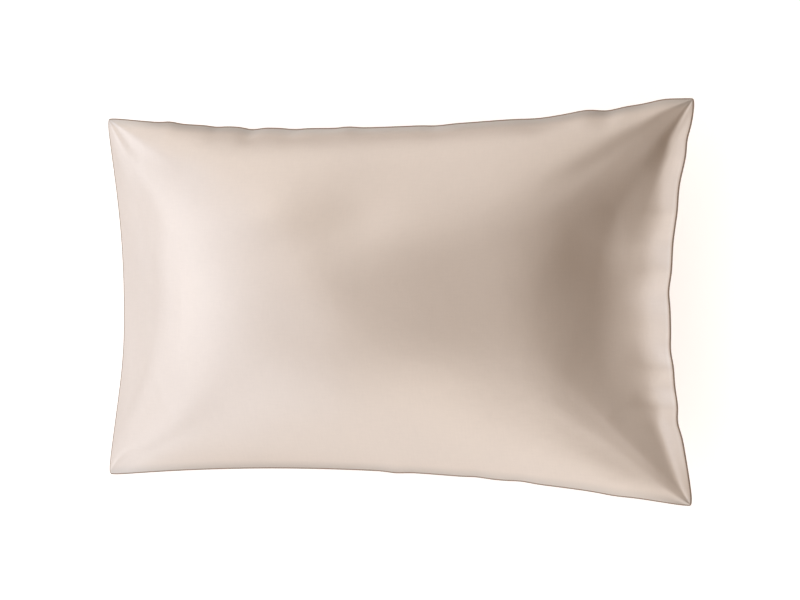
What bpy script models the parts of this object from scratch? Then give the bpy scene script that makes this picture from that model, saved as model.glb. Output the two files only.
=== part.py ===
"""A satin pillowcase with a plump pillow in it, lying on its back.

Metres, +Z up. X runs along the long sides and Y along the short ones. The origin is on the surface
that the case rests on, under the middle of its outline.

A place on either face is named by two numbers: u runs from -1 at the left seam to 1 at the right one,
and v from -1 at the bottom seam to 1 at the top one.
"""
from collections import namedtuple
from math import cos, pi, radians, sin

import bmesh
import bpy
import numpy as np

# Driving sizes
LENGTH = 0.7706  # between the straight lines that the short sides are drawn in from
WIDTH = 0.4746  # the same for the long sides
SEAM_HEIGHT = 0.078  # of the middle of the seam's edge, above the surface
SEAM_THICK = 0.003  # of the turned seam round the edge
CORNER_DROOP = 0.007  # how far the corner tips hang below the middle of each side
CROWN = 0.085  # of the front face, above the seam
BELLY = 0.098  # of the back face, below the seam, before it settles on the surface
SETTLE = 0.006  # height over which the back face bends into its flat patch

# How each side is drawn in between its corners by the filling
Side = namedtuple("Side", "drawn_in roundness")
LEFT = Side(drawn_in=0.027, roundness=1.30)
RIGHT = Side(drawn_in=0.026, roundness=1.40)
BOTTOM = Side(drawn_in=0.026, roundness=1.00)
TOP = Side(drawn_in=0.025, roundness=1.00)
TIP_TUCK = 0.0018  # how far each corner tip is rounded off
TIP_SHARPNESS = 40

# The pillow ends short of each short seam, by a share of the way there from the middle. From the top of
# the crown it falls as 1 - t ** fall, and the fall differs from the bottom of the face to its top.
CROWN_TOP_U = -0.10
End = namedtuple("End", "short_by roundness fall fall_lean")
LEFT_END = End(short_by=0.14, roundness=1.3, fall=2.1, fall_lean=0.0)
RIGHT_END = End(short_by=0.20, roundness=1.0, fall=2.0, fall_lean=0.7)

# The fall to each long seam: (1 - |v| ** flatness) ** steepness, eased a little close to the seam
CROSS_FLATNESS = (1.7, 5.5)  # at mid length, and what u ** 4 adds towards the ends
CROSS_STEEPNESS = 0.6
CROSS_LEAN = 0.08  # how far the line of the crown's top lies above the middle
EDGE_EASE = 0.015
EDGE_SHARPNESS = 24
EDGE_START = 0.5  # the place of |v| from which the back face rises to the long seams

# The empty strip of cloth at each end: a slope on the left, a shallow valley on the right
SEAM_SPAN = 0.36  # from the middle to either short seam, halfway along it
LEFT_SLOPE = 0.24
LEFT_ROUNDNESS = 0.35  # how the slope fades out towards the corners
VALLEY_DEPTH = 0.008
VALLEY_ROUNDNESS = 0.8
VALLEY_U = 0.925
VALLEY_HALF_WIDTH = 0.08
FLANGE_START = 0.55  # the place of |u| where the strips begin, under the body
FLANGE_FULL = 0.75
FILLET = 0.009  # height over which the body bends into the strips
FOLD_STEEPNESS = 4  # how soon the folds start from the seam
SWELL_STEEPNESS = 2
FLAT_RISE = 0.015  # rise of the front face below which the back face lies parallel to it

# Where the filling is packed harder or has sunk: a broad oval swell, turned in plan by an angle in
# degrees, or a hollow where its height is less than 0
Swell = namedtuple("Swell", "x y length width turn height")
SWELLS = (
    Swell(0.040, 0.140, 0.125, 0.080, 20, -0.0065),
    Swell(0.080, 0.010, 0.125, 0.060, 10, -0.0060),
    Swell(-0.115, 0.105, 0.075, 0.035, 0, 0.0065),
    Swell(-0.280, 0.160, 0.060, 0.085, -20, -0.0065),
    Swell(0.310, -0.005, 0.030, 0.065, 0, -0.0065),
    Swell(0.215, -0.035, 0.110, 0.055, -75, 0.0050),
    Swell(-0.025, -0.195, 0.090, 0.040, -5, -0.0060),
    Swell(0.235, 0.100, 0.085, 0.065, 35, 0.0050),
)

# Where the stitching gathers the seam. inward is how far it pulls the edge in, or pushes it out where
# that is less than 0. place is along the side, from its middle.
Pucker = namedtuple("Pucker", "side place half_width inward")
PUCKERS = (
    Pucker("top", -0.287, 0.013, -0.0018),
    Pucker("top", -0.219, 0.011, 0.0012),
    Pucker("top", -0.168, 0.013, 0.0025),
    Pucker("top", -0.110, 0.014, 0.0014),
    Pucker("top", -0.036, 0.013, -0.0014),
    Pucker("top", 0.078, 0.016, 0.0012),
    Pucker("top", 0.205, 0.028, 0.0020),
    Pucker("top", 0.260, 0.016, -0.0014),
    Pucker("top", 0.286, 0.015, 0.0022),
    Pucker("top", 0.350, 0.018, -0.0022),
    Pucker("right", 0.188, 0.013, 0.0018),
    Pucker("right", 0.135, 0.020, 0.0016),
    Pucker("right", 0.014, 0.014, 0.0016),
    Pucker("right", -0.056, 0.013, 0.0012),
    Pucker("right", -0.139, 0.014, 0.0027),
    Pucker("bottom", 0.026, 0.014, -0.0014),
    Pucker("bottom", 0.128, 0.014, 0.0010),
    Pucker("bottom", 0.183, 0.016, 0.0013),
    Pucker("bottom", 0.295, 0.020, -0.0012),
    Pucker("left", -0.075, 0.060, 0.0016),
)
PUCKER_REACH = 0.014  # how far a pucker runs in from the seam

# Soft folds that fan out over a face from a corner's tip. angle is in degrees, from 0 along the short
# seam to 90 along the long one. A fold is a ridge, or a trough where its height is less than 0.
Fold = namedtuple("Fold", "face end side angle spread height reach")
FOLDS = (
    Fold("front", 1, 1, 18, 7, -0.0070, 0.16),
    Fold("front", 1, 1, 24, 8, 0.0050, 0.25),
    Fold("front", 1, 1, 36, 8, 0.0070, 0.16),
    Fold("front", 1, 1, 71, 9, 0.0060, 0.14),
    Fold("front", 1, -1, 23, 7, -0.0070, 0.15),
    Fold("front", 1, -1, 39, 8, 0.0040, 0.14),
    Fold("front", 1, -1, 42, 6, 0.0045, 0.30),
    Fold("front", 1, -1, 69, 10, -0.0060, 0.13),
    Fold("front", -1, 1, 26, 10, 0.0040, 0.28),
    Fold("front", -1, 1, 46, 7, -0.0050, 0.10),
    Fold("front", -1, 1, 63, 7, 0.0060, 0.16),
    Fold("front", -1, 1, 70, 8, 0.0040, 0.35),
    Fold("front", -1, -1, 43, 10, 0.0025, 0.25),
    Fold("front", -1, -1, 45, 11, -0.0055, 0.33),
    Fold("front", -1, -1, 66, 9, 0.0025, 0.24),
    Fold("back", 1, 1, 45, 9, -0.0030, 0.20),
    Fold("back", 1, -1, 40, 9, -0.0030, 0.18),
    Fold("back", -1, 1, 42, 9, -0.0030, 0.18),
    Fold("back", -1, -1, 46, 9, -0.0030, 0.20),
)

# Cells of each face along X and Y, and the share of the spacing that crowds towards the short seams
CELLS_X = 64
CELLS_Y = 40
CROWDING_X = 0.35


def bell(offset, half_width):
    """A smooth bump: 1 where the offset is 0, and close to 0 past twice the half width."""
    return np.exp(-((offset / half_width) ** 2))


def blend(along, start, end):
    """The value on the straight line from start, at -1, to end, at 1."""
    return start + (end - start) * (along + 1) / 2


def inset(side, along):
    """How far a side lies inside its straight line, at a place from -1 to 1 along it."""
    return side.drawn_in * np.maximum(1 - along**2, 0) ** side.roundness


def outline(u, v):
    """The place in plan of (u, v), between the four drawn-in sides."""
    x = blend(u, -LENGTH / 2 + inset(LEFT, v), LENGTH / 2 - inset(RIGHT, v))
    y = blend(v, -WIDTH / 2 + inset(BOTTOM, u), WIDTH / 2 - inset(TOP, u))
    tuck = TIP_TUCK * np.abs(u * v) ** TIP_SHARPNESS
    return x - np.sign(u) * tuck, y - np.sign(v) * tuck


def smooth_step(value, start, end):
    """0 up to start and 1 from end, with a smooth rise between."""
    t = np.clip((value - start) / (end - start), 0, 1)
    return t * t * (3 - 2 * t)


def fillet(height, radius):
    """0 below -radius, the height itself above radius, and a parabola that joins them between."""
    bend = (height + radius) ** 2 / (4 * radius)
    return np.where(height < -radius, 0.0, np.where(height < radius, bend, height))


def body_share(u, v):
    """The share of the crown's height left at (u, v), less than 0 past the ends of the pillow."""
    drawn = np.maximum(1 - v**2, 0)
    lengthwise = np.ones_like(u)
    for end, seam_u in ((LEFT_END, -1), (RIGHT_END, 1)):
        body_u = seam_u * (1 - end.short_by * drawn**end.roundness)
        t = np.maximum((u - CROWN_TOP_U) / (body_u - CROWN_TOP_U), 0)
        lengthwise = lengthwise - t ** (end.fall + end.fall_lean * v)
    across = np.abs(v - CROSS_LEAN * drawn)
    across = across - EDGE_EASE * across**EDGE_SHARPNESS
    flatness = CROSS_FLATNESS[0] + CROSS_FLATNESS[1] * u**4
    return lengthwise * np.maximum(1 - across**flatness, 0) ** CROSS_STEEPNESS


def edge_share(u, v):
    """The share that is left at the long seams, carried in over the outer half of the width."""
    at_edge = np.maximum(body_share(u, np.ones_like(v)), 0)
    carried = at_edge * smooth_step(np.abs(v), EDGE_START, 1)
    return np.minimum(carried, np.maximum(body_share(u, v), 0))


def flange_height(u, v):
    """Height of the empty strips at the ends, over the seam."""
    drawn = np.maximum(1 - v**2, 0)
    left = LEFT_SLOPE * SEAM_SPAN * (u + 1) * drawn**LEFT_ROUNDNESS
    right = -VALLEY_DEPTH * bell(u - VALLEY_U, VALLEY_HALF_WIDTH) * drawn**VALLEY_ROUNDNESS
    return np.where(u < 0, left, right) * smooth_step(np.abs(u), FLANGE_START, FLANGE_FULL)


def seam_level(u, v):
    """Height of the seam: highest at the middle of each side, lowest at the corner tips."""
    return SEAM_HEIGHT - CORNER_DROOP * u**2 * v**2


def gather(x, y):
    """The shift in plan that the puckers of the seam make at (x, y)."""
    shift_x = np.zeros_like(x)
    shift_y = np.zeros_like(x)
    for pucker in PUCKERS:
        outward = 1 if pucker.side in ("right", "top") else -1
        if pucker.side in ("left", "right"):
            from_seam = LENGTH / 2 - LEFT.drawn_in - outward * x
            strength = bell(y - pucker.place, pucker.half_width)
        else:
            from_seam = WIDTH / 2 - TOP.drawn_in - outward * y
            strength = bell(x - pucker.place, pucker.half_width)
        pull = pucker.inward * strength * bell(np.maximum(from_seam, 0), PUCKER_REACH)
        if pucker.side in ("left", "right"):
            shift_x -= outward * pull
        else:
            shift_y -= outward * pull
    return shift_x, shift_y


def swell_height(x, y):
    """Sum of the broad swells and hollows of the front face."""
    total = np.zeros_like(x)
    for swell in SWELLS:
        turn = radians(swell.turn)
        along = (x - swell.x) * cos(turn) + (y - swell.y) * sin(turn)
        across = (y - swell.y) * cos(turn) - (x - swell.x) * sin(turn)
        total += swell.height * bell(along, swell.length) * bell(across, swell.width)
    return total


def fold_height(face, x, y):
    """Sum of the soft folds that fan out from the corners of one face."""
    total = np.zeros_like(x)
    for fold in FOLDS:
        if fold.face != face:
            continue
        run = np.maximum(LENGTH / 2 - fold.end * x, 1e-6)
        drop = np.maximum(WIDTH / 2 - fold.side * y, 1e-6)
        angle = np.arctan2(run, drop)
        t = np.clip(np.hypot(run, drop) / fold.reach, 0, 1)
        along = 6.75 * t * (1 - t) ** 2  # 0 at the tip and at the reach, 1 a third of the way
        total += fold.height * along * bell(angle - radians(fold.angle), radians(fold.spread))
    return total


def near_seam(u, v, steepness):
    """1 over the middle of the face, falling to 0 at the seam."""
    return np.minimum(steepness * (1 - u**2) * (1 - v**2), 1)


def face_points(face, u, v):
    """Points of the front or the back face, as an array of x, y and z."""
    x, y = outline(u, v)
    shift_x, shift_y = gather(x, y)
    share = body_share(u, v)
    flange = flange_height(u, v)
    radius = FILLET * np.sqrt(np.maximum(1 - v**2, 0)) + 1e-6
    rise = fillet(CROWN * share - flange, radius)
    relief = fold_height("front", x, y) * near_seam(u, v, FOLD_STEEPNESS)
    relief = relief + swell_height(x, y) * near_seam(u, v, SWELL_STEEPNESS)
    if face == "front":
        z = seam_level(u, v) + SEAM_THICK / 2 + flange + rise + relief
    else:
        flat = 1 - smooth_step(rise, 0, FLAT_RISE)
        edge = edge_share(u, v)
        drop = fillet(BELLY * (share - edge) + flange, radius)
        own_relief = fold_height("back", x, y) * near_seam(u, v, FOLD_STEEPNESS)
        z = seam_level(u, v) - SEAM_THICK / 2 + CROWN * edge + flange - drop
        z = fillet(z - own_relief * (1 - flat) + relief * flat, SETTLE)
    return np.stack([x + shift_x, y + shift_y, z], axis=-1)


def build_case(name):
    """Two faces sewn together round their edge, as one closed body."""
    bm = bmesh.new()
    bmesh.ops.create_grid(bm, x_segments=CELLS_X, y_segments=CELLS_Y, size=1)
    grown = bmesh.ops.extrude_face_region(bm, geom=list(bm.faces))["geom"]
    front = [item for item in grown if isinstance(item, bmesh.types.BMVert)]
    on_front = set(front)
    back = [vert for vert in bm.verts if vert not in on_front]
    for face, verts in (("front", front), ("back", back)):
        even = np.array([vert.co[:2] for vert in verts])
        u = (1 - CROWDING_X) * even[:, 0] + CROWDING_X * np.sin(pi / 2 * even[:, 0])
        v = np.sin(pi / 2 * even[:, 1])
        for vert, point in zip(verts, face_points(face, u, v)):
            vert.co = point
    bmesh.ops.recalc_face_normals(bm, faces=bm.faces)
    mesh = bpy.data.meshes.new(name)
    bm.to_mesh(mesh)
    bm.free()
    mesh.shade_smooth()
    mesh.set_sharp_from_angle(angle=radians(60))
    return bpy.data.objects.new(name, mesh)


def satin():
    """Champagne satin: pale, warm, with a soft broad gloss."""
    material = bpy.data.materials.new("champagne_satin")
    material.use_nodes = True
    shader = material.node_tree.nodes["Principled BSDF"]
    shader.inputs["Base Color"].default_value = (0.66, 0.55, 0.47, 1)
    shader.inputs["Metallic"].default_value = 0.0
    shader.inputs["Roughness"].default_value = 0.38
    shader.inputs["Sheen Weight"].default_value = 0.2
    return material


def main():
    for old in list(bpy.data.objects):
        bpy.data.objects.remove(old)
    collection = bpy.data.collections.new("pillowcase")
    bpy.context.scene.collection.children.link(collection)
    case = build_case("filled_pillowcase")
    case.data.materials.append(satin())
    collection.objects.link(case)


main()
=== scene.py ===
# %% [markdown]
# # A filled satin pillowcase
# The piece is a bed pillow in a champagne satin case, lying on its back. On the real thing two satin
# panels are sewn together along their edges and turned, so that the seam is a thin rounded lip, and the
# pillow inside stretches them into a crown. The stretched cloth draws the sides in between the corners.
#
# This lesson starts from the plain solid of the filled case. Everything below is laid over it at the
# same size and place, so its box gives the sizes that the rest is worked out from.

# %% Load the plain solid and read its sizes
from collections import namedtuple
from math import cos, pi, radians, sin

import bmesh
import bpy
import numpy as np
from mathutils import Matrix, Vector


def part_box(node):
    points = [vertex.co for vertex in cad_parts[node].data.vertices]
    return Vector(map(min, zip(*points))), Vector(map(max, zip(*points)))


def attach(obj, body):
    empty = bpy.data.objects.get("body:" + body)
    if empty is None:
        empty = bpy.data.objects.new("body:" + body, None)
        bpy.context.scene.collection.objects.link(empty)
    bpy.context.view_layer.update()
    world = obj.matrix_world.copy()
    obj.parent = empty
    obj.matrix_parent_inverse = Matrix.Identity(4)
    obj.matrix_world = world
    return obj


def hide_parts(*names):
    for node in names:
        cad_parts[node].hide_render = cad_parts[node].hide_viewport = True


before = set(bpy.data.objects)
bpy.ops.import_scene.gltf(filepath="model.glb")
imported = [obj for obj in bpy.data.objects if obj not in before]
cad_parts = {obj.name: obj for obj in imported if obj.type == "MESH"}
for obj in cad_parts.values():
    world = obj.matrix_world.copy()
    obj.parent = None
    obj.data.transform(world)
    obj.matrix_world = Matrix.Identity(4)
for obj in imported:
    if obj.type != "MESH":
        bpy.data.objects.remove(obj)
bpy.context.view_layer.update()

NODE = "filled_pillowcase"
MM = 0.001
TINY = 1e-6  # keeps a radius or a distance above 0
low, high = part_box(NODE)
LENGTH = high[0] - low[0]
WIDTH = high[1] - low[1]
THICKNESS = high[2] - low[2]
print(f"over the corners {LENGTH:.3f} x {WIDTH:.3f} m, {THICKNESS:.3f} m thick")

# %% [markdown]
# ## The outline
# A place on either face is named by two numbers: u runs from -1 at the left seam to 1 at the right one,
# and v from -1 at the bottom seam to 1 at the top one. A sheet of numbers for u and another for v make
# a grid, and every formula below works on the whole grid at once.
#
# The four sides could be drawn as curves by hand. A filled case pulls its sides in by the same rule on
# each side, so one formula with a depth and a roundness for each side says more and is easier to change.

# %% Draw the four sides in between the corners
LIP_RADIUS = 1.6 * MM

Side = namedtuple("Side", "drawn_in roundness")
LEFT = Side(drawn_in=27 * MM, roundness=1.30)
RIGHT = Side(drawn_in=26 * MM, roundness=1.40)
BOTTOM = Side(drawn_in=26 * MM, roundness=1.00)
TOP = Side(drawn_in=25 * MM, roundness=1.00)
TIP_TUCK = 1.8 * MM  # how far each corner tip is rounded off
TIP_SHARPNESS = 40
PAST_TIPS = (1.1 * MM, 1.7 * MM)  # from the rounded tips out to the straight lines, along x and y
HALF_LENGTH = LENGTH / 2 - LIP_RADIUS + PAST_TIPS[0]
HALF_WIDTH = WIDTH / 2 - LIP_RADIUS + PAST_TIPS[1]


def inset(side, along):
    """Depth of a side inside its straight line: drawn_in times (1 - along squared) ** roundness."""
    return side.drawn_in * np.maximum(1 - along**2, 0) ** side.roundness


def bell(offset, half_width):
    """A smooth bump: e to the minus (offset / half_width) squared."""
    return np.exp(-((offset / half_width) ** 2))


def fillet(height, radius):
    """0 below -radius, the height itself above radius, and the parabola that joins them between."""
    bend = (height + radius) ** 2 / (4 * radius)
    return np.where(height < -radius, 0.0, np.where(height < radius, bend, height))


def smooth_step(value, start, end):
    """0 up to start and 1 from end, with 3t squared - 2t cubed between."""
    t = np.clip((value - start) / (end - start), 0, 1)
    return t * t * (3 - 2 * t)


def blend(along, start, end):
    """The straight line from start, at -1, to end, at 1."""
    return start + (end - start) * (along + 1) / 2


def outline(u, v):
    """Plan of the case: x is u carried from the left side to the right, y is v from bottom to top.

    The corner tips are tucked in a little by |u v| ** sharpness, which rounds them.
    """
    x = blend(u, -HALF_LENGTH + inset(LEFT, v), HALF_LENGTH - inset(RIGHT, v))
    y = blend(v, -HALF_WIDTH + inset(BOTTOM, u), HALF_WIDTH - inset(TOP, u))
    tuck = TIP_TUCK * np.abs(u * v) ** TIP_SHARPNESS
    return x - np.sign(u) * tuck, y - np.sign(v) * tuck


halfway = np.array([0.0])
seam = np.array([1.0])
waist_x = outline(seam, halfway)[0][0] - outline(-seam, halfway)[0][0]
waist_y = outline(halfway, seam)[1][0] - outline(halfway, -seam)[1][0]
print(f"between the middles of the sides {waist_x:.3f} x {waist_y:.3f} m")

# %% [markdown]
# ## The body of the pillow
# The pillow is a little shorter than its case. It fills the case tightly across, so the face is steepest
# at the long seams, like half an ellipse. Lengthwise it ends before the short seams and leaves a strip of
# empty cloth, a flange, at each of them.
#
# The height of the body is a fall along the length times a fall across the width. Both are 1 at the top
# of the crown. Below 0 there is no pillow, and the next step puts the flange there.

# %% Shape the body
SEAM_HEIGHT = 78 * MM  # of the middle of each side, above the table
CORNER_DROOP = 7 * MM  # how far the corner tips hang below that
PANEL_GAP = 3 * MM  # between the two faces at the seam
CROWN = 85 * MM  # of the front face, above the seam
BELLY = 98 * MM  # of the back face, below the seam, before it settles on the table
CROWN_TOP_U = -0.10
End = namedtuple("End", "short_by roundness fall fall_lean")
LEFT_END = End(short_by=0.14, roundness=1.3, fall=2.1, fall_lean=0.0)
RIGHT_END = End(short_by=0.20, roundness=1.0, fall=2.0, fall_lean=0.7)
CROSS_FLATNESS = (1.7, 5.5)  # at mid length, and what u ** 4 adds towards the ends
CROSS_STEEPNESS = 0.6
CROSS_LEAN = 0.08  # how far the line of the crown's top lies above the middle
EDGE_EASE = 0.015
EDGE_SHARPNESS = 24
EDGE_START = 0.5  # the |v| from which the back face rises to the long seams


def body_share(u, v):
    """Height of the body as a share of the crown: the fall along the length times the one across it.

    Lengthwise it is 1 - t ** fall, where t goes from 0 at the top of the crown to 1 where the body ends.
    Across it is (1 - |v| ** flatness) ** steepness, and the flatness grows from the middle to the ends.
    Close to the long seams |v| is eased back a little, so that the face reaches them at 45 degrees or so.
    """
    drawn = np.maximum(1 - v**2, 0)
    lengthwise = np.ones_like(u)
    for end, seam_u in ((LEFT_END, -1), (RIGHT_END, 1)):
        body_u = seam_u * (1 - end.short_by * drawn**end.roundness)
        t = np.maximum((u - CROWN_TOP_U) / (body_u - CROWN_TOP_U), 0)
        lengthwise = lengthwise - t ** (end.fall + end.fall_lean * v)
    across = np.abs(v - CROSS_LEAN * drawn)
    across = across - EDGE_EASE * across**EDGE_SHARPNESS
    flatness = CROSS_FLATNESS[0] + CROSS_FLATNESS[1] * u**4
    return lengthwise * np.maximum(1 - across**flatness, 0) ** CROSS_STEEPNESS


def edge_share(u, v):
    """The share that is left at the long seams, carried in over the outer half of the width.

    It is never more than the body's own share at that place, so the two faces stay apart.
    """
    at_edge = np.maximum(body_share(u, np.ones_like(v)), 0)
    carried = at_edge * smooth_step(np.abs(v), EDGE_START, 1)
    return np.minimum(carried, np.maximum(body_share(u, v), 0))


print(f"the crown stands {CROWN / MM:.0f} mm above the seam")

# %% [markdown]
# ## The flanges
# The empty cloth at the short ends is held up by the body. On the left it slopes straight down to the
# seam. On the right it sinks into a shallow valley and rises again to the seam. Where the body meets it
# the tight cloth makes a fillet, not a crease.
#
# The same parabola makes the fillet and the flat patch underneath, where the case lies on the table.

# %% Join the body to its flanges
SEAM_SPAN = 0.36  # from the middle to either short seam, halfway along it
LEFT_SLOPE = 0.24
LEFT_ROUNDNESS = 0.35  # how the slope fades out towards the corners
VALLEY_DEPTH = 8 * MM
VALLEY_ROUNDNESS = 0.8
VALLEY_U = 0.925
VALLEY_HALF_WIDTH = 0.08
FLANGE_START = 0.55  # the |u| where the flanges begin, under the body
FLANGE_FULL = 0.75
FILLET = 9 * MM  # height over which the body bends into the flanges
SETTLE = 6 * MM  # height over which the back bends into its flat patch


def flange_height(u, v):
    """Height of the flanges over the seam: a slope on the left, a bell-shaped valley on the right."""
    drawn = np.maximum(1 - v**2, 0)
    left = LEFT_SLOPE * SEAM_SPAN * (u + 1) * drawn**LEFT_ROUNDNESS
    right = -VALLEY_DEPTH * bell(u - VALLEY_U, VALLEY_HALF_WIDTH) * drawn**VALLEY_ROUNDNESS
    return np.where(u < 0, left, right) * smooth_step(np.abs(u), FLANGE_START, FLANGE_FULL)


def fillet_radius(v):
    """Radius of the fillet, which fades towards the long seams as the square root of 1 - v squared."""
    return FILLET * np.sqrt(np.maximum(1 - v**2, 0)) + TINY


def seam_level(u, v):
    """Height of the seam: highest at the middle of each side, lowest at the corner tips."""
    return SEAM_HEIGHT - CORNER_DROOP * u**2 * v**2


print(f"the valley at the right end is {VALLEY_DEPTH / MM:.0f} mm deep")

# %% [markdown]
# ## Broad swells
# The filling isn't even. It is packed harder under some places and has sunk a little under others, and
# satin shows that as large soft patches of light and shade. Each row of the table is one swell: an oval
# hump, or a hollow where its height is less than 0, turned in plan by its angle.

# %% Lay the swells over the front
Swell = namedtuple("Swell", "x y length width turn height")
SWELLS = (
    Swell(0.040, 0.140, 0.125, 0.080, 20, -6.5 * MM),
    Swell(0.080, 0.010, 0.125, 0.060, 10, -6.0 * MM),
    Swell(-0.115, 0.105, 0.075, 0.035, 0, 6.5 * MM),
    Swell(-0.280, 0.160, 0.060, 0.085, -20, -6.5 * MM),
    Swell(0.310, -0.005, 0.030, 0.065, 0, -6.5 * MM),
    Swell(0.215, -0.035, 0.110, 0.055, -75, 5.0 * MM),
    Swell(-0.025, -0.195, 0.090, 0.040, -5, -6.0 * MM),
    Swell(0.235, 0.100, 0.085, 0.065, 35, 5.0 * MM),
    Swell(-0.295, -0.060, 0.030, 0.080, -5, 1.5 * MM),
    Swell(-0.045, 0.020, 0.065, 0.030, 135, 1.0 * MM),
    Swell(-0.255, 0.065, 0.055, 0.035, 0, 1.0 * MM),
    Swell(-0.085, -0.035, 0.050, 0.030, 0, -1.5 * MM),
    Swell(-0.005, 0.100, 0.045, 0.025, 0, -2.5 * MM),
    Swell(0.260, 0.055, 0.025, 0.040, 0, -2.0 * MM),
    Swell(0.305, 0.025, 0.035, 0.045, 0, -2.0 * MM),
)
SWELL_STEEPNESS = 2  # how soon the swells start from the seam


def near_seam(u, v, steepness):
    """1 over the middle of the face, falling to 0 at the seam.

    It is steepness times (1 - u squared) times (1 - v squared), held down to 1.
    """
    return np.minimum(steepness * (1 - u**2) * (1 - v**2), 1)


def swell_height(x, y):
    """Each swell is a bell along its length times a bell across it."""
    total = np.zeros_like(x)
    for swell in SWELLS:
        turn = radians(swell.turn)
        along = (x - swell.x) * cos(turn) + (y - swell.y) * sin(turn)
        across = (y - swell.y) * cos(turn) - (x - swell.x) * sin(turn)
        total += swell.height * bell(along, swell.length) * bell(across, swell.width)
    return total


print(f"{len(SWELLS)} swells lie on the front")

# %% [markdown]
# ## The folds at the corners
# Tight cloth pulled from a corner tip makes soft folds that fan out over the face. Each row of the table
# is one fold: a ridge, or a trough where its height is less than 0, at an angle measured from the short
# seam to the long one.

# %% Fan the folds out from the corner tips
Fold = namedtuple("Fold", "face end side angle spread height reach")
FOLDS = (
    Fold("front", 1, 1, 18, 7, -7.0 * MM, 0.16),
    Fold("front", 1, 1, 24, 8, 5.0 * MM, 0.25),
    Fold("front", 1, 1, 36, 8, 7.0 * MM, 0.16),
    Fold("front", 1, 1, 42, 6, 1.0 * MM, 0.33),
    Fold("front", 1, 1, 56, 5, -1.5 * MM, 0.30),
    Fold("front", 1, 1, 71, 9, 6.0 * MM, 0.14),
    Fold("front", 1, -1, 23, 7, -7.0 * MM, 0.15),
    Fold("front", 1, -1, 27, 5, -2.5 * MM, 0.19),
    Fold("front", 1, -1, 39, 8, 4.0 * MM, 0.14),
    Fold("front", 1, -1, 42, 6, 4.5 * MM, 0.30),
    Fold("front", 1, -1, 51, 6, 2.0 * MM, 0.27),
    Fold("front", 1, -1, 69, 10, 1.5 * MM, 0.13),
    Fold("front", -1, 1, 26, 10, 4.0 * MM, 0.28),
    Fold("front", -1, 1, 41, 6, 2.0 * MM, 0.13),
    Fold("front", -1, 1, 46, 7, -5.0 * MM, 0.10),
    Fold("front", -1, 1, 63, 7, 6.0 * MM, 0.16),
    Fold("front", -1, 1, 70, 8, 4.0 * MM, 0.35),
    Fold("front", -1, -1, 22, 9, 1.5 * MM, 0.20),
    Fold("front", -1, -1, 43, 10, 2.5 * MM, 0.25),
    Fold("front", -1, -1, 45, 11, -5.5 * MM, 0.33),
    Fold("front", -1, -1, 66, 9, 2.5 * MM, 0.24),
    Fold("back", 1, 1, 45, 9, -3.0 * MM, 0.20),
    Fold("back", 1, -1, 40, 9, -3.0 * MM, 0.18),
    Fold("back", -1, 1, 42, 9, -3.0 * MM, 0.18),
    Fold("back", -1, -1, 46, 9, -3.0 * MM, 0.20),
)
FOLD_STEEPNESS = 4  # how soon the folds start from the seam


def from_corner(end, side, x, y):
    """Distance of a place from a corner tip, and its angle there, from the short seam to the long one."""
    run = np.maximum(LENGTH / 2 - end * x, TINY)
    drop = np.maximum(WIDTH / 2 - side * y, TINY)
    return np.hypot(run, drop), np.arctan2(run, drop)


def along_reach(t):
    """t times (1 - t) squared, times the 6.75 that makes its top 1. That lies a third of the way."""
    return 6.75 * t * (1 - t) ** 2


def fold_height(face, x, y):
    """Each fold is a bell across its angle, times t(1 - t) squared along its reach from the tip."""
    total = np.zeros_like(x)
    for fold in FOLDS:
        if fold.face != face:
            continue
        distance, angle = from_corner(fold.end, fold.side, x, y)
        t = np.clip(distance / fold.reach, 0, 1)
        across = bell(angle - radians(fold.angle), radians(fold.spread))
        total += fold.height * along_reach(t) * across
    return total


print(f"{len(FOLDS)} folds fan out from the corners")

# %% [markdown]
# ## The creases at the corner tips
# The broad folds have died away by the time they reach a corner. Right at the tip short sharp creases
# take over, and the clear one on each right corner curves as it runs down beside the flange. A crease
# keeps its spread in degrees, so it narrows towards the tip with the cloth that is left there.

# %% Run short creases into the corner tips
Crease = namedtuple("Crease", "end side tip_angle far_angle spread height reach")
CREASES = (
    Crease(1, 1, 36, 16, 5, -1.3 * MM, 0.16),
    Crease(1, 1, 33, 20, 10, -0.7 * MM, 0.12),
    Crease(1, 1, 63, 62, 7, 0.6 * MM, 0.11),
    Crease(1, -1, 37, 16, 6, -1.1 * MM, 0.16),
    Crease(1, -1, 36, 20, 10, -0.6 * MM, 0.12),
    Crease(1, -1, 54, 51, 12, 1.2 * MM, 0.15),
    Crease(-1, 1, 36, 36, 6, 0.8 * MM, 0.09),
    Crease(-1, 1, 62, 62, 6, 1.2 * MM, 0.10),
    Crease(-1, -1, 28, 75, 7, 0.8 * MM, 0.12),
    Crease(-1, -1, 76, 72, 7, 0.4 * MM, 0.10),
)
CREASE_STEEPNESS = 4  # how soon the creases start from either seam


def crease_height(u, v, x, y):
    """Each crease is a bell across its angle, times t(1 - t) squared, and fades beside either seam."""
    total = np.zeros_like(x)
    from_seam = np.minimum((1 - np.abs(u)) * HALF_LENGTH, (1 - np.abs(v)) * HALF_WIDTH)
    for crease in CREASES:
        distance, angle = from_corner(crease.end, crease.side, x, y)
        t = np.clip(distance / crease.reach, 0, 1)
        own_angle = crease.tip_angle + (crease.far_angle - crease.tip_angle) * t
        across = bell(angle - np.radians(own_angle), radians(crease.spread))
        fade = np.minimum(CREASE_STEEPNESS * from_seam / distance, 1)
        total += crease.height * along_reach(t) * across * fade
    return total


print(f"{len(CREASES)} creases run into the corner tips")

# %% [markdown]
# ## The puckers of the seam
# Stitching shortens an edge, and a filled case shows it as small puckers: the edge steps in or out by a
# millimetre or two, and takes the cloth beside it along. They could be sculpted one at a time. A table
# with a row for each clear pucker is easier to read and to change.

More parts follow.
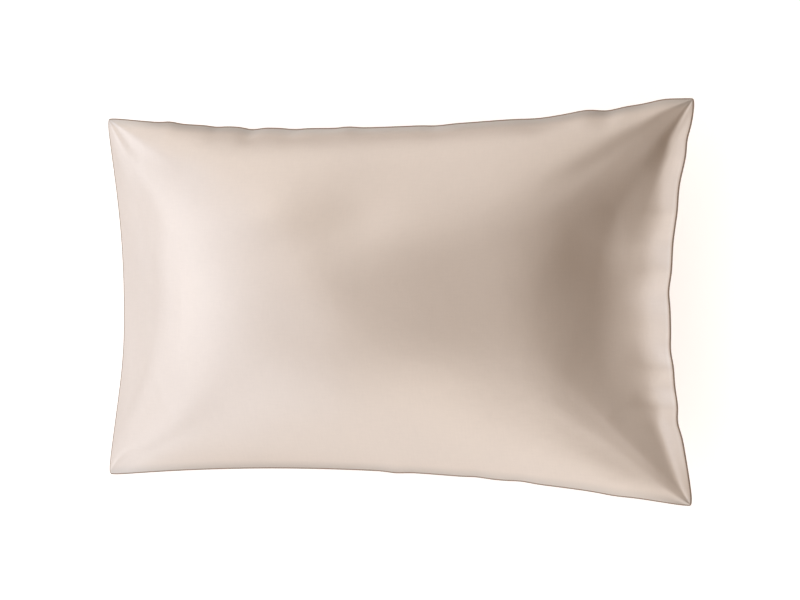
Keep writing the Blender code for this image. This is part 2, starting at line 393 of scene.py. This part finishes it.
# %% Pucker the edge
Pucker = namedtuple("Pucker", "side place half_width inward")
PUCKERS = (
    Pucker("top", -0.287, 0.013, -1.8 * MM),
    Pucker("top", -0.219, 0.011, 1.2 * MM),
    Pucker("top", -0.168, 0.013, 2.5 * MM),
    Pucker("top", -0.110, 0.014, 1.4 * MM),
    Pucker("top", -0.036, 0.013, -1.4 * MM),
    Pucker("top", 0.078, 0.016, 1.2 * MM),
    Pucker("top", 0.205, 0.028, 2.0 * MM),
    Pucker("top", 0.260, 0.016, -1.4 * MM),
    Pucker("top", 0.286, 0.015, 2.2 * MM),
    Pucker("top", 0.350, 0.018, -2.2 * MM),
    Pucker("right", 0.188, 0.013, 1.8 * MM),
    Pucker("right", 0.135, 0.020, 1.6 * MM),
    Pucker("right", 0.014, 0.014, 1.6 * MM),
    Pucker("right", -0.056, 0.013, 1.2 * MM),
    Pucker("right", -0.139, 0.014, 2.7 * MM),
    Pucker("bottom", 0.026, 0.014, -1.4 * MM),
    Pucker("bottom", 0.128, 0.014, 1.0 * MM),
    Pucker("bottom", 0.183, 0.016, 1.3 * MM),
    Pucker("bottom", 0.295, 0.020, -1.2 * MM),
    Pucker("left", -0.075, 0.060, 1.6 * MM),
)
PUCKER_REACH = 14 * MM  # how far in from the seam a pucker takes the cloth along


def distance_in(side, x, y):
    """How far a place lies in from the middle of a side's seam, and 0 outside it."""
    if side == "left":
        return np.maximum(HALF_LENGTH - LEFT.drawn_in + x, 0)
    if side == "right":
        return np.maximum(HALF_LENGTH - RIGHT.drawn_in - x, 0)
    if side == "bottom":
        return np.maximum(HALF_WIDTH - BOTTOM.drawn_in + y, 0)
    return np.maximum(HALF_WIDTH - TOP.drawn_in - y, 0)


def pucker_shift(x, y):
    """Shift in plan at (x, y): for each pucker, a bell along its seam times a bell inwards from it."""
    shift_x = np.zeros_like(x)
    shift_y = np.zeros_like(x)
    for pucker in PUCKERS:
        outward = 1 if pucker.side in ("right", "top") else -1
        place = y if pucker.side in ("left", "right") else x
        pull = pucker.inward * bell(place - pucker.place, pucker.half_width)
        pull = pull * bell(distance_in(pucker.side, x, y), PUCKER_REACH)
        if pucker.side in ("left", "right"):
            shift_x -= outward * pull
        else:
            shift_y -= outward * pull
    return shift_x, shift_y


print(f"{len(PUCKERS)} puckers shape the edge")

# %% [markdown]
# ## The gathers of the right seam
# From the right seam the shortened cloth also runs into the face, in low ridges and troughs that die away
# within a few centimetres. Each row of the table is one of them, and a trough has a height less than 0.
# A fine ridge follows the same seam close beside the lip, as if the cloth lay doubled there.

# %% Let the gathers run into the face
Gather = namedtuple("Gather", "place half_width reach height")
GATHERS = (
    Gather(0.150, 14 * MM, 30 * MM, 1.4 * MM),
    Gather(0.105, 12 * MM, 28 * MM, -2.4 * MM),
    Gather(0.070, 12 * MM, 30 * MM, 2.2 * MM),
    Gather(0.040, 11 * MM, 28 * MM, -2.2 * MM),
    Gather(0.005, 14 * MM, 40 * MM, 2.4 * MM),
    Gather(-0.045, 14 * MM, 35 * MM, 2.0 * MM),
    Gather(-0.075, 10 * MM, 28 * MM, -2.4 * MM),
    Gather(-0.098, 10 * MM, 28 * MM, 1.8 * MM),
    Gather(-0.122, 10 * MM, 28 * MM, -2.0 * MM),
)
RIDGE_HEIGHT = 0.35 * MM
RIDGE_HALF_WIDTH = 1.8 * MM


def gather_height(x, y):
    """Each gather is a bell along the right seam times a bell inwards from it."""
    total = np.zeros_like(x)
    from_seam = distance_in("right", x, y)
    for gather in GATHERS:
        along = bell(y - gather.place, gather.half_width)
        total += gather.height * along * bell(from_seam, gather.reach)
    return total


def ridge_height(u, v):
    """The ridge is a bell inwards from the right seam, lower towards the corners as 1 - v squared."""
    from_seam = (1 - u) * SEAM_SPAN
    return RIDGE_HEIGHT * bell(from_seam - RIDGE_HALF_WIDTH, RIDGE_HALF_WIDTH) * (1 - v**2)


print(f"{len(GATHERS)} gathers run in from the right seam")

# %% [markdown]
# ## From the formulas to a mesh
# Each face is one grid of points. Its rows crowd towards the seams, where the cloth turns fastest. Where
# the case is thin, at its edge, the back face lies parallel to the front one, and so takes its relief.

# %% Work out both faces
CELLS_X = 260
CELLS_Y = 168
CROWDING_X = 0.8  # 0 spaces the points evenly and 1 crowds them as a sine does
CROWDING_Y = 1.0
FLAT_RISE = 15 * MM  # rise of the front face up to which the back one follows it


def spacing(cells, crowding):
    """Even steps from -1 to 1, mixed with the sine of them, which crowds the ends."""
    even = np.linspace(-1, 1, cells + 1)
    return (1 - crowding) * even + crowding * np.sin(pi / 2 * even)


def face_points(face, u, v):
    """Points of the front or the back face: the plan, and the crown or the belly over it."""
    x, y = outline(u, v)
    share = body_share(u, v)
    flange = flange_height(u, v)
    radius = fillet_radius(v)
    shift_x, shift_y = pucker_shift(x, y)
    relief_front = fold_height("front", x, y) * near_seam(u, v, FOLD_STEEPNESS)
    relief_front += swell_height(x, y) * near_seam(u, v, SWELL_STEEPNESS)
    relief_front += crease_height(u, v, x, y)
    rise_front = fillet(CROWN * share - flange, radius)
    gathers = gather_height(x, y)
    if face == "front":
        z = seam_level(u, v) + PANEL_GAP / 2 + flange + rise_front + relief_front
        z = z + gathers + ridge_height(u, v)
    else:
        thin = 1 - smooth_step(rise_front, 0, FLAT_RISE)
        relief_back = fold_height("back", x, y) * near_seam(u, v, FOLD_STEEPNESS)
        left_at_edge = edge_share(u, v)
        drop = fillet(BELLY * (share - left_at_edge) + flange, radius)
        z = seam_level(u, v) - PANEL_GAP / 2 + CROWN * left_at_edge + flange - drop
        z = z + gathers - ridge_height(u, v)
        z = fillet(z - relief_back * (1 - thin) + relief_front * thin, SETTLE)
    return np.stack([x + shift_x, y + shift_y, z], axis=-1)


steps_u = spacing(CELLS_X, CROWDING_X)
steps_v = spacing(CELLS_Y, CROWDING_Y)
grid_u, grid_v = np.meshgrid(steps_u, steps_v, indexing="ij")
front_points = face_points("front", grid_u, grid_v)
back_points = face_points("back", grid_u, grid_v)
print(f"each face has {CELLS_X} x {CELLS_Y} cells, top at {front_points[..., 2].max():.4f} m")

# %% [markdown]
# ## The lip
# A seam that is sewn and turned shows as a thin roll of cloth. Half a circle from the front face to the
# back one, carried round the edge, gives the roll a real thickness and leaves the body closed.
#
# Two things are written on the mesh for the cloth to read. A map says where each point lies on the flat
# panel, so that threads keep their size. A number says how much painted shade to lay in a narrow band
# beside the long seams.

# %% Join the faces with a rounded lip
LIP_STEPS = 5
WELD = 0.01 * MM  # points closer than this become one
BACK_MAP_SHIFT = 1.0  # sets the back panel apart from the front one on the map
# Width and strength of the painted shade beside the long seams
SHADE_BAND_WIDTH = 13 * MM
TOP_SEAM_SHADE = 1.0
BOTTOM_SEAM_SHADE = 0.75


def edge_loop(grid):
    """The points round the edge of a grid, once round without a repeat."""
    return np.concatenate([grid[:-1, 0], grid[-1, :-1], grid[:0:-1, -1], grid[0, :0:-1]])


def lip_points(front_edge, back_edge):
    """Half circles between the faces: middle + half the gap times cos + outward radius times sin."""
    middle_line = (front_edge + back_edge) / 2
    half_gap = (front_edge - back_edge) / 2
    ahead = np.roll(middle_line, -1, axis=0) - np.roll(middle_line, 1, axis=0)
    outward = np.stack([ahead[:, 1], -ahead[:, 0], np.zeros(len(ahead))], axis=-1)
    outward /= np.linalg.norm(outward, axis=-1, keepdims=True)
    turn = np.linspace(0, pi, LIP_STEPS + 1)[:, None, None]
    return middle_line + half_gap * np.cos(turn) + outward * LIP_RADIUS * np.sin(turn)


def grid_quads(rows, columns, first, flip):
    """Corner numbers of the quads of a grid of points that starts at number first."""
    number = first + np.arange(rows * columns).reshape(rows, columns)
    quads = np.stack([number[:-1, :-1], number[1:, :-1], number[1:, 1:], number[:-1, 1:]], axis=-1)
    quads = quads.reshape(-1, 4)
    return quads[:, ::-1] if flip else quads


def ring_quads(rows, columns, first):
    """The same for a strip whose last column joins its first."""
    number = first + np.arange(rows * columns).reshape(rows, columns)
    after = np.roll(number, -1, axis=1)
    quads = np.stack([number[:-1], number[1:], after[1:], after[:-1]], axis=-1)
    return quads.reshape(-1, 4)


def laid_flat(points):
    """Each point's place on the flat cloth: distances summed along rows and columns from the middle."""
    flat = np.zeros(points.shape[:2] + (2,))
    flat[1:, :, 0] = np.cumsum(np.linalg.norm(np.diff(points, axis=0), axis=-1), axis=0)
    flat[:, 1:, 1] = np.cumsum(np.linalg.norm(np.diff(points, axis=1), axis=-1), axis=1)
    middle_row = flat[points.shape[0] // 2, :, 0]
    middle_column = flat[:, points.shape[1] // 2, 1]
    flat[..., 0] -= middle_row[None, :]
    flat[..., 1] -= middle_column[:, None]
    return flat


def seam_shade_share(u, v):
    """How much painted shade lies beside the long seams: most at the seams, none from the band's width
    in.
    """
    from_long = (1 - np.abs(v)) * HALF_WIDTH
    strength = np.where(v > 0, TOP_SEAM_SHADE, BOTTOM_SEAM_SHADE)
    return strength * (1 - smooth_step(from_long, 0, SHADE_BAND_WIDTH))


def write_cloth_map(mesh, flat):
    """Writes the flat places as the UV map "cloth", in metres."""
    corner_vertex = np.empty(len(mesh.loops), dtype=np.int32)
    mesh.loops.foreach_get("vertex_index", corner_vertex)
    layer = mesh.uv_layers.new(name="cloth")
    layer.data.foreach_set("uv", flat[corner_vertex].astype(np.float32).ravel())


def build_mesh(name, front, back, seam_shade):
    """One closed mesh of both faces and the lip between them, with the lip in the second finish."""
    lip = lip_points(edge_loop(front), edge_loop(back))
    rows, columns = front.shape[:2]
    count = rows * columns
    points = np.concatenate([front.reshape(-1, 3), back.reshape(-1, 3), lip.reshape(-1, 3)])
    front_quads = grid_quads(rows, columns, 0, flip=False)
    back_quads = grid_quads(rows, columns, count, flip=True)
    lip_quads = ring_quads(lip.shape[0], lip.shape[1], 2 * count)
    quads = np.concatenate([front_quads, back_quads, lip_quads])
    finish = np.zeros(len(quads), dtype=np.int32)
    finish[len(quads) - len(lip_quads) :] = 1
    mesh = bpy.data.meshes.new(name)
    mesh.from_pydata(points.tolist(), [], quads.tolist())
    mesh.polygons.foreach_set("material_index", finish)
    front_flat = laid_flat(front)
    back_flat = laid_flat(back) + BACK_MAP_SHIFT
    lip_flat = np.repeat(edge_loop(front_flat)[None], len(lip), axis=0)
    flats = [front_flat.reshape(-1, 2), back_flat.reshape(-1, 2), lip_flat.reshape(-1, 2)]
    write_cloth_map(mesh, np.concatenate(flats))
    seam_shade_values = np.zeros(len(mesh.vertices), dtype=np.float32)
    seam_shade_values[: 2 * count] = np.tile(seam_shade.ravel(), 2)
    mesh.attributes.new("seam_shade", "FLOAT", "POINT").data.foreach_set("value", seam_shade_values)
    bm = bmesh.new()
    bm.from_mesh(mesh)
    bmesh.ops.remove_doubles(bm, verts=bm.verts, dist=WELD)
    bmesh.ops.recalc_face_normals(bm, faces=bm.faces)
    bm.to_mesh(mesh)
    bm.free()
    mesh.shade_smooth()
    piece = bpy.data.objects.new(name, mesh)
    bpy.context.scene.collection.objects.link(piece)
    return piece


case = build_mesh("satin_case", front_points, back_points, seam_shade_share(grid_u, grid_v))
print(f"the case has {len(case.data.polygons)} faces")

# %% [markdown]
# ## Satin
# Satin floats its warp threads over the weft, so the face is almost all one way of thread. Light off it
# is a broad, soft, nearly white gloss over a warm champagne ground.
#
# The grain is noise on the flat panel's map. Stretched one way it makes the warp, the other way the weft,
# and unstretched the slow mottle of the dye.

# %% Weave the ground of the satin
ALONG_THREADS = 70.0  # changes a metre
ACROSS_THREADS = 420.0
MOTTLE_CHANGES = 14.0
MOTTLE_DETAIL = 3.0


def new_material(name):
    """A new material, with its node tree and its shader."""
    material = bpy.data.materials.new(name)
    material.use_nodes = True
    return material, material.node_tree, material.node_tree.nodes["Principled BSDF"]


def new_node(tree, kind, **settings):
    """Adds a node to a tree and sets its properties."""
    node = tree.nodes.new(kind)
    for name, value in settings.items():
        setattr(node, name, value)
    return node


def thread_noise(tree, place, along, across, detail=2.0):
    """Soft noise stretched like threads: so many changes a metre along the cloth and across it."""
    stretch = new_node(tree, "ShaderNodeMapping")
    stretch.inputs["Scale"].default_value = (along, across, 1.0)
    tree.links.new(place, stretch.inputs["Vector"])
    noise = new_node(tree, "ShaderNodeTexNoise", noise_dimensions="2D")
    noise.inputs["Scale"].default_value = 1.0
    noise.inputs["Detail"].default_value = detail
    tree.links.new(stretch.outputs["Vector"], noise.inputs["Vector"])
    return noise.outputs["Fac"]


def feed(tree, socket, value):
    """Links a socket to another one, or sets it to a plain value."""
    if isinstance(value, bpy.types.NodeSocket):
        tree.links.new(value, socket)
    else:
        socket.default_value = value


def calculate(tree, operation, first, second=0.0, third=0.0):
    """One step of arithmetic on sockets or plain numbers."""
    node = new_node(tree, "ShaderNodeMath", operation=operation)
    for socket, value in zip(node.inputs, (first, second, third)):
        feed(tree, socket, value)
    return node.outputs[0]


def mix_colours(tree, share, first, second):
    """Blends two colours, either of which may be a socket, by a share from 0 to 1."""
    node = new_node(tree, "ShaderNodeMix", data_type="RGBA")
    tree.links.new(share, node.inputs["Factor"])
    feed(tree, node.inputs["A"], first)
    feed(tree, node.inputs["B"], second)
    return node.outputs["Result"]


satin, satin_tree, shader = new_material("champagne_satin")
cloth = new_node(satin_tree, "ShaderNodeUVMap", uv_map="cloth").outputs["UV"]
warp = thread_noise(satin_tree, cloth, ALONG_THREADS, ACROSS_THREADS)
weft = thread_noise(satin_tree, cloth, ACROSS_THREADS, ALONG_THREADS)
half_weft = calculate(satin_tree, "MULTIPLY", weft, 0.5)
threads = calculate(satin_tree, "MULTIPLY_ADD", warp, 0.5, half_weft)
mottle = thread_noise(satin_tree, cloth, MOTTLE_CHANGES, MOTTLE_CHANGES, detail=MOTTLE_DETAIL)
print("warp and weft grain are woven into the satin")

# %% [markdown]
# ### Colour, gloss and the hand of the cloth
# The ground colour drifts a little from place to place with the threads and the mottle. Beside the long
# seams a narrow band of painted shade deepens it, most at the top seam. A low relief of threads and a
# slower ripple keep the gloss from looking like plastic.

# %% Finish with satin
PALE_GROUND = (0.63, 0.475, 0.36, 1)
DEEP_GROUND = (0.57, 0.425, 0.32, 1)
# Colour of the painted shade beside the long seams
SEAM_SHADE_COLOUR = (0.26, 0.18, 0.12, 1)
THREAD_CONTRAST = 1.4
drift = calculate(satin_tree, "MULTIPLY_ADD", threads, THREAD_CONTRAST, -THREAD_CONTRAST / 2)
drift = calculate(satin_tree, "ADD", drift, mottle)
ground = mix_colours(satin_tree, drift, PALE_GROUND, DEEP_GROUND)
seam_shade_amount = new_node(satin_tree, "ShaderNodeAttribute", attribute_name="seam_shade").outputs["Fac"]
ground = mix_colours(satin_tree, seam_shade_amount, ground, SEAM_SHADE_COLOUR)
satin_tree.links.new(ground, shader.inputs["Base Color"])

ROUGHNESS = 0.35
ROUGHNESS_CHANGE = 0.12
LEAST_ROUGHNESS = ROUGHNESS - ROUGHNESS_CHANGE / 2
rough = calculate(satin_tree, "MULTIPLY_ADD", threads, ROUGHNESS_CHANGE, LEAST_ROUGHNESS)
satin_tree.links.new(rough, shader.inputs["Roughness"])
shader.inputs["IOR"].default_value = 3.0
shader.inputs["Specular IOR Level"].default_value = 0.9
shader.inputs["Sheen Weight"].default_value = 0.05
shader.inputs["Sheen Roughness"].default_value = 0.4

Relief = namedtuple("Relief", "strength height")
THREAD_RELIEF = Relief(0.35, 0.1 * MM)
RIPPLE_RELIEF = Relief(0.5, 0.4 * MM)
RIPPLE_CHANGES = 50.0


def raise_relief(tree, relief, pattern):
    """A bump node that raises a pattern to the strength and the height of a relief."""
    bump = new_node(tree, "ShaderNodeBump")
    bump.inputs["Strength"].default_value = relief.strength
    bump.inputs["Distance"].default_value = relief.height
    tree.links.new(pattern, bump.inputs["Height"])
    return bump


ripple = thread_noise(satin_tree, cloth, RIPPLE_CHANGES, RIPPLE_CHANGES)
thread_bump = raise_relief(satin_tree, THREAD_RELIEF, threads)
ripple_bump = raise_relief(satin_tree, RIPPLE_RELIEF, ripple)
satin_tree.links.new(thread_bump.outputs["Normal"], ripple_bump.inputs["Normal"])
satin_tree.links.new(ripple_bump.outputs["Normal"], shader.inputs["Normal"])
case.data.materials.append(satin)
print("the ground, the gloss and two scales of relief are set")

# %% [markdown]
# ### The turned edge
# On the roll of the seam the cloth is bent so sharply that its threads no longer lie side by side, and
# it is duller. Its colour is painted far deeper than the satin: painted shade for the fine dark line
# where the roll turns away from the light.

# %% Finish the edge
# Painted shade: the edge colours are much deeper than the satin, for the dark line along the roll
SHADED_EDGE_PALE = (0.38, 0.29, 0.23, 1)
SHADED_EDGE_DEEP = (0.29, 0.21, 0.165, 1)
STITCH_CHANGES = 400.0
shaded_edge_cloth, edge_tree, edge_shader = new_material("turned_edge_painted_shade")
edge_place = new_node(edge_tree, "ShaderNodeUVMap", uv_map="cloth").outputs["UV"]
stitches = thread_noise(edge_tree, edge_place, STITCH_CHANGES, STITCH_CHANGES)
shaded_edge_colour = mix_colours(edge_tree, stitches, SHADED_EDGE_PALE, SHADED_EDGE_DEEP)
edge_tree.links.new(shaded_edge_colour, edge_shader.inputs["Base Color"])
edge_shader.inputs["Roughness"].default_value = 0.6
edge_shader.inputs["IOR"].default_value = 1.4
edge_shader.inputs["Sheen Weight"].default_value = 0.1
case.data.materials.append(shaded_edge_cloth)
print(f"the case has {len(case.data.materials)} finishes")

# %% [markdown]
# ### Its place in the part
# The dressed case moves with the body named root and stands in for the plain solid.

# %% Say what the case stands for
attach(case, "root")
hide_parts(NODE)
print(f"{case.name} stands in for {NODE}")

# %% [markdown]
# ## The floor
# A large sheet of pale paper carries the case. A pool of light is painted on it: it glows softly in an
# oval round the case, as if lit from above, and is painted grey further out as painted shade, so that
# the steep sides of the case mirror a darker surrounding.

# %% Stand it on a pale floor
SHEET_SIZE = 12
# Painted pool of light near the case and painted grey shade further out
POOL_LIT_PAPER = (0.94, 0.94, 0.94, 1)
SHADED_FAR_PAPER = (0.42, 0.39, 0.36, 1)
PAPER_GLOW = 0.45
POOL_LENGTH = 0.64  # half the length of the oval, and half its width
POOL_WIDTH = 0.45
POOL_EDGE = (1.25, 2.0)  # where the grey starts and where it is full, as multiples of those
POOL_X = -0.05
bpy.ops.mesh.primitive_plane_add(size=SHEET_SIZE)
floor = bpy.context.object
floor.name = "floor"
paper, paper_tree, paper_shader = new_material("pale_paper_painted_pool")
on_floor = new_node(paper_tree, "ShaderNodeTexCoord").outputs["Object"]
oval = new_node(paper_tree, "ShaderNodeMapping")
oval.inputs["Scale"].default_value = (1 / POOL_LENGTH, 1 / POOL_WIDTH, 1.0)
oval.inputs["Location"].default_value = (-POOL_X / POOL_LENGTH, 0, 0)
paper_tree.links.new(on_floor, oval.inputs["Vector"])
out_from_case = new_node(paper_tree, "ShaderNodeVectorMath", operation="LENGTH")
paper_tree.links.new(oval.outputs["Vector"], out_from_case.inputs[0])
falloff = new_node(paper_tree, "ShaderNodeMapRange", interpolation_type="SMOOTHERSTEP")
falloff.inputs["From Min"].default_value = POOL_EDGE[0]
falloff.inputs["From Max"].default_value = POOL_EDGE[1]
paper_tree.links.new(out_from_case.outputs["Value"], falloff.inputs["Value"])
painted_falloff = falloff.outputs["Result"]
tone = mix_colours(paper_tree, painted_falloff, POOL_LIT_PAPER, SHADED_FAR_PAPER)
paper_tree.links.new(tone, paper_shader.inputs["Base Color"])
paper_light = calculate(paper_tree, "MULTIPLY_ADD", painted_falloff, -PAPER_GLOW, PAPER_GLOW)
paper_tree.links.new(paper_light, paper_shader.inputs["Emission Strength"])
paper_shader.inputs["Emission Color"].default_value = (1.0, 1.0, 1.0, 1)
paper_shader.inputs["Roughness"].default_value = 0.9
floor.data.materials.append(paper)
print(f"a sheet {SHEET_SIZE} m wide lies under the case")

# %% [markdown]
# ## Soft studio light
# Satin mirrors whatever stands round it, so its light and shade are really a picture of the room. Large
# soft panels, the widest and strongest of them low on the left, give the smooth change from a pale left
# flank to a darker right one. Each row is one panel, seen as a soft glow in the surrounding: strength
# times e to the tightness times (the cosine of the angle from its middle - 1).

# %% Light it
Glow = namedtuple("Glow", "azimuth elevation tightness strength warmth")
GLOWS = (
    Glow(185, -5, 2.7, 1.82, 0.0),
    Glow(225, 35, 25, 0.60, 0.0),
    Glow(265, 15, 6.5, 0.95, 1.0),
    Glow(120, 20, 20, 0.95, 1.0),
    Glow(75, 55, 5.5, 0.85, 1.0),
    Glow(145, 45, 18, 0.65, 1.0),
    Glow(200, 65, 18, 0.50, 1.0),
    Glow(25, 5, 12, 0.70, 1.0),
    Glow(280, 50, 20, 1.30, 1.0),
    Glow(80, 20, 18, 0.25, 1.0),
    Glow(300, 35, 20, 0.15, 1.0),
)
COOL = (1.0, 1.0, 1.03)
WARM = (1.0, 0.90, 0.81)


def glow_colour(tree, direction, glow):
    """The colour that one glow adds in each direction, as a vector socket."""
    azimuth, elevation = radians(glow.azimuth), radians(glow.elevation)
    dot = new_node(tree, "ShaderNodeVectorMath", operation="DOT_PRODUCT")
    tree.links.new(direction, dot.inputs[0])
    dot.inputs[1].default_value = (
        cos(elevation) * cos(azimuth),
        cos(elevation) * sin(azimuth),
        sin(elevation),
    )
    power = calculate(tree, "MULTIPLY_ADD", dot.outputs["Value"], glow.tightness, -glow.tightness)
    fading = calculate(tree, "EXPONENT", power)
    tint = new_node(tree, "ShaderNodeVectorMath", operation="SCALE")
    colour = [c + (w - c) * glow.warmth for c, w in zip(COOL, WARM)]
    tint.inputs[0].default_value = [glow.strength * value for value in colour]
    tree.links.new(fading, tint.inputs["Scale"])
    return tint.outputs[0]


world = bpy.data.worlds.new("studio")
world.use_nodes = True
world_tree = world.node_tree
look = new_node(world_tree, "ShaderNodeTexCoord").outputs["Generated"]
glow_colours = [glow_colour(world_tree, look, glow) for glow in GLOWS]
light = glow_colours[0]
for another in glow_colours[1:]:
    added = new_node(world_tree, "ShaderNodeVectorMath", operation="ADD")
    world_tree.links.new(light, added.inputs[0])
    world_tree.links.new(another, added.inputs[1])
    light = added.outputs[0]
world_tree.links.new(light, world_tree.nodes["Background"].inputs["Color"])
bpy.context.scene.world = world
bpy.context.scene.view_settings.view_transform = "Standard"
print(f"{len(GLOWS)} soft panels light the case")

# %% [markdown]
# ## The camera
# The case is seen almost straight on to its face, a little from the right, through a natural lens.

# %% Place the camera
CAMERA_TILT = radians(19.6)
CAMERA_NOD = radians(1.5)
CAMERA_ROLL = radians(0.05)
CAMERA_DISTANCE = 1.85
CAMERA_AIM = Vector((0.0275, 0.0, SEAM_HEIGHT))
SENSOR = 36.0  # width of the sensor and focal length of the lens, in millimetres
FOCAL = 67.7
to_camera = Vector((
    sin(CAMERA_TILT) * cos(CAMERA_NOD),
    sin(CAMERA_NOD),
    cos(CAMERA_TILT) * cos(CAMERA_NOD),
))
level_right = Vector((0, 1, 0)).cross(to_camera).normalized()
level_up = to_camera.cross(level_right)
rolled_right = cos(CAMERA_ROLL) * level_right + sin(CAMERA_ROLL) * level_up
rolled_up = cos(CAMERA_ROLL) * level_up - sin(CAMERA_ROLL) * level_right
camera_data = bpy.data.cameras.new("camera")
camera_data.lens = FOCAL
camera_data.sensor_width = SENSOR
camera = bpy.data.objects.new("camera", camera_data)
bpy.context.scene.collection.objects.link(camera)
stand = Matrix((rolled_right, rolled_up, to_camera)).transposed().to_4x4()
stand.translation = CAMERA_AIM + CAMERA_DISTANCE * to_camera
camera.matrix_world = stand
bpy.context.scene.camera = camera
print(f"the camera stands {CAMERA_DISTANCE:.2f} m from the case")
